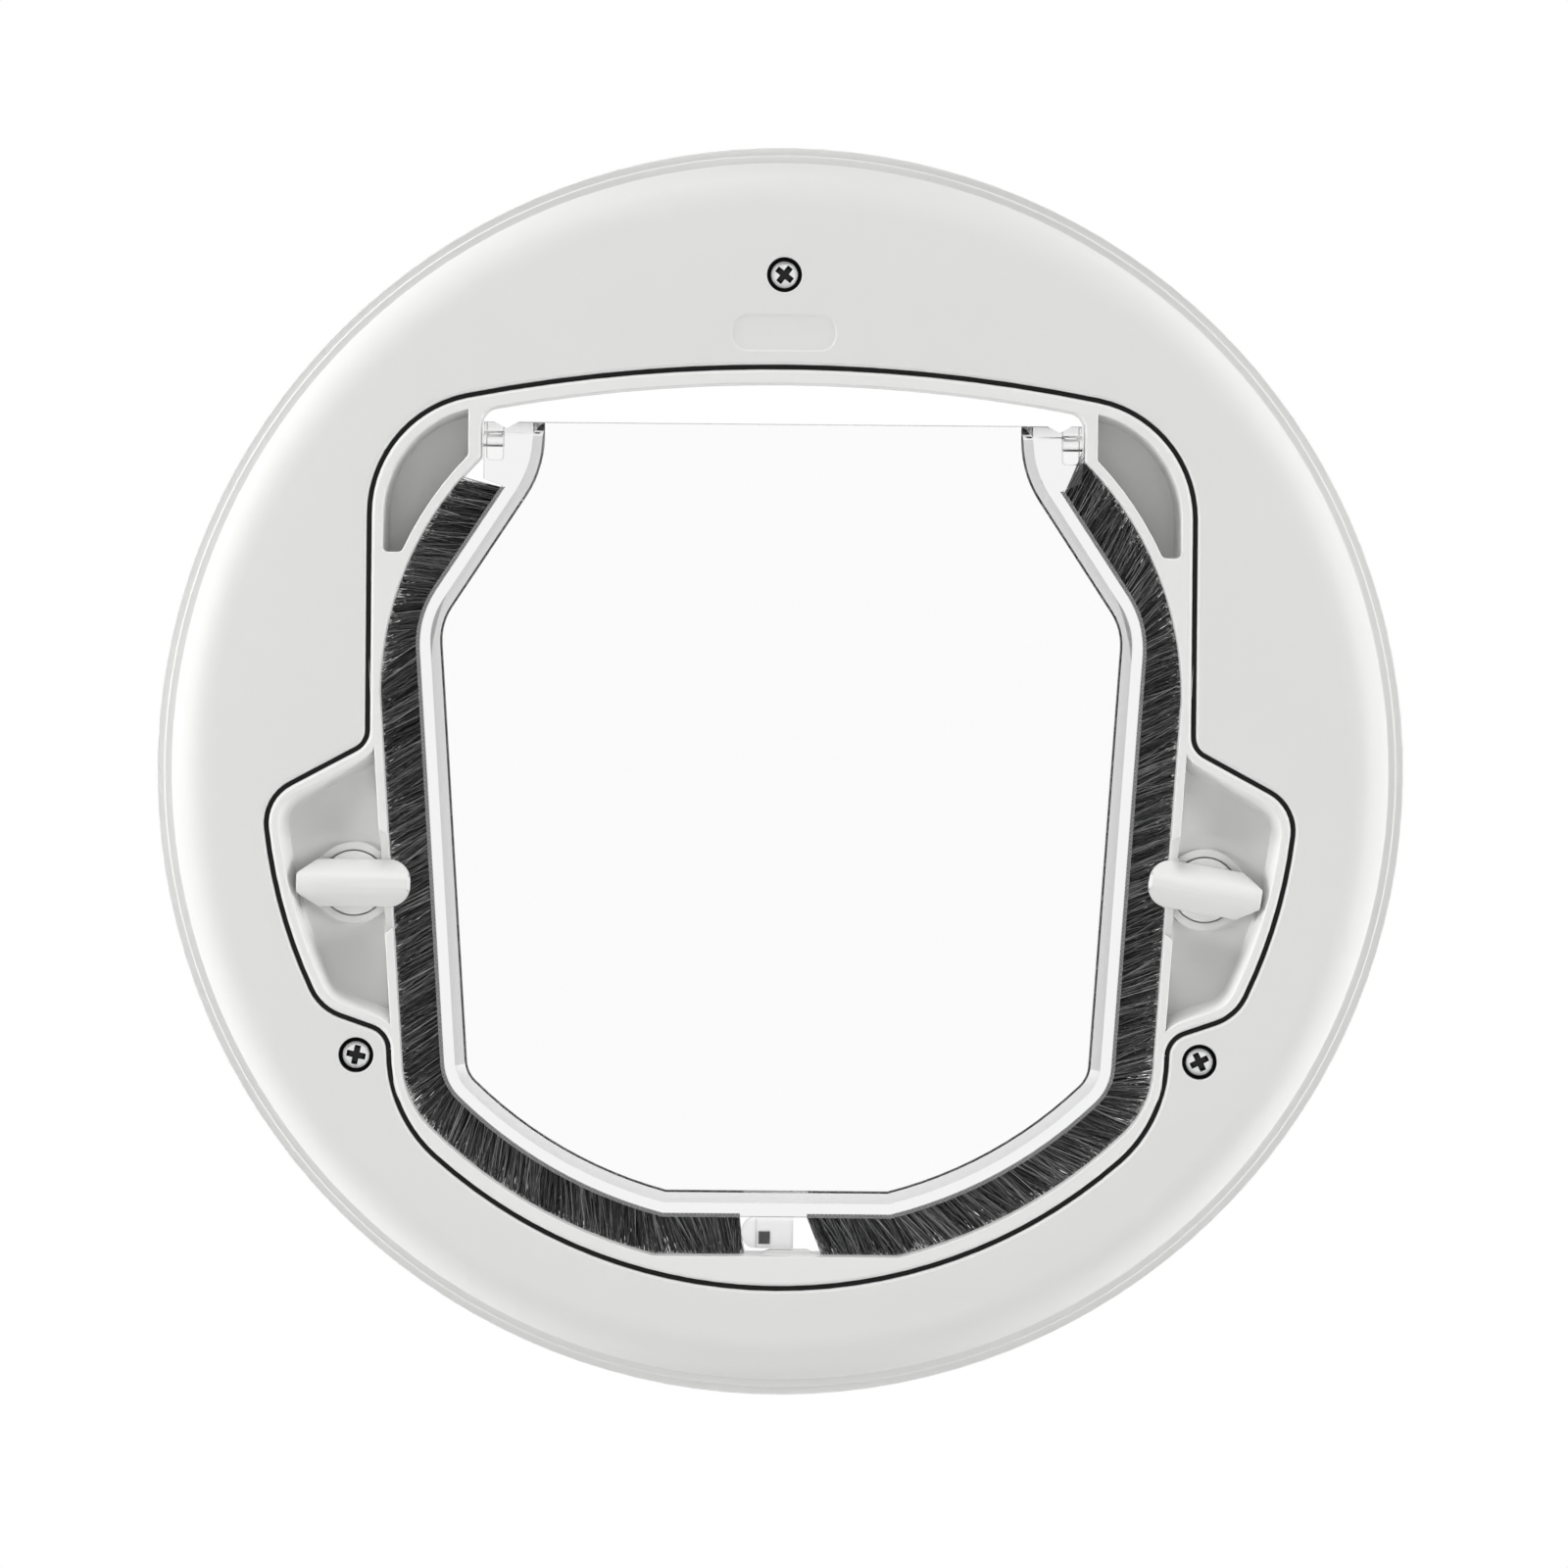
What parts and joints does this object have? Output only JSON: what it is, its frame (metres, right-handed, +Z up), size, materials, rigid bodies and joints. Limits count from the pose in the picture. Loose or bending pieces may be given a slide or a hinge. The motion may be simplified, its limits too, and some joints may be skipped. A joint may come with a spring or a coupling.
{
  "type": "cat flap",
  "caption": "Round white cat flap for a hole in glass: two domed clamping rings, a clear swinging flap with brush edges and turning side latches.",
  "frame": {"origin": "centre of the hole in the glass, halfway through the glass", "axes": "+X to the right as seen from the room, +Y from the room to the garden, +Z up"},
  "size_m": [0.294, 0.035, 0.294],
  "materials": {
    "white_plastic": "moulded white, fine satin",
    "clear_plastic": "clear, polished",
    "black_rubber": "soft black",
    "grey_foam": "closed-cell foam",
    "dark_pile": "dense upright fibres",
    "woven_backing": "woven tape",
    "steel": "zinc plated",
    "bush_plastic": "moulded, plain",
    "ferrite": "dull dark grey"
  },
  "bodies": {
    "frame": {"inside_ring": "white_plastic", "outside_ring": "white_plastic", "tunnel_frame": "white_plastic", "inside_gasket": "grey_foam", "outside_gasket": "grey_foam", "inside_seam_seal": "black_rubber", "outside_seam_seal": "black_rubber", "clamp_screws": "steel", "screw_washers": "black_rubber", "sill_magnet": "ferrite", "left_hinge_bush": "bush_plastic", "right_hinge_bush": "bush_plastic"},
    "flap": {"flap_panel": "clear_plastic", "flap_magnet": "ferrite", "left_pile": "dark_pile", "right_pile": "dark_pile", "left_pile_backing": "woven_backing", "right_pile_backing": "woven_backing", "left_hinge_pin": "clear_plastic", "right_hinge_pin": "clear_plastic"},
    "left_latch": {"left_latch_knob": "white_plastic", "left_latch_washer": "steel", "left_latch_clip": "steel"},
    "right_latch": {"right_latch_knob": "white_plastic", "right_latch_washer": "steel", "right_latch_clip": "steel"}
  },
  "joints": [
    {"name": "flap_swing", "type": "hinge", "parent": "frame", "child": "flap", "pos_m": [0, 0, 0.0775], "axis": [1, 0, 0], "range_deg": [-80, 80], "deforming": ["left_pile", "right_pile"]},
    {"name": "left_latch_turn", "type": "hinge", "parent": "frame", "child": "left_latch", "pos_m": [-0.1002, -0.012, -0.027], "axis": [0, -1, 0], "range_deg": [0, 90]},
    {"name": "right_latch_turn", "type": "hinge", "parent": "frame", "child": "right_latch", "pos_m": [0.1002, -0.012, -0.027], "axis": [0, -1, 0], "range_deg": [-80.5, 9.5]}
  ]
}
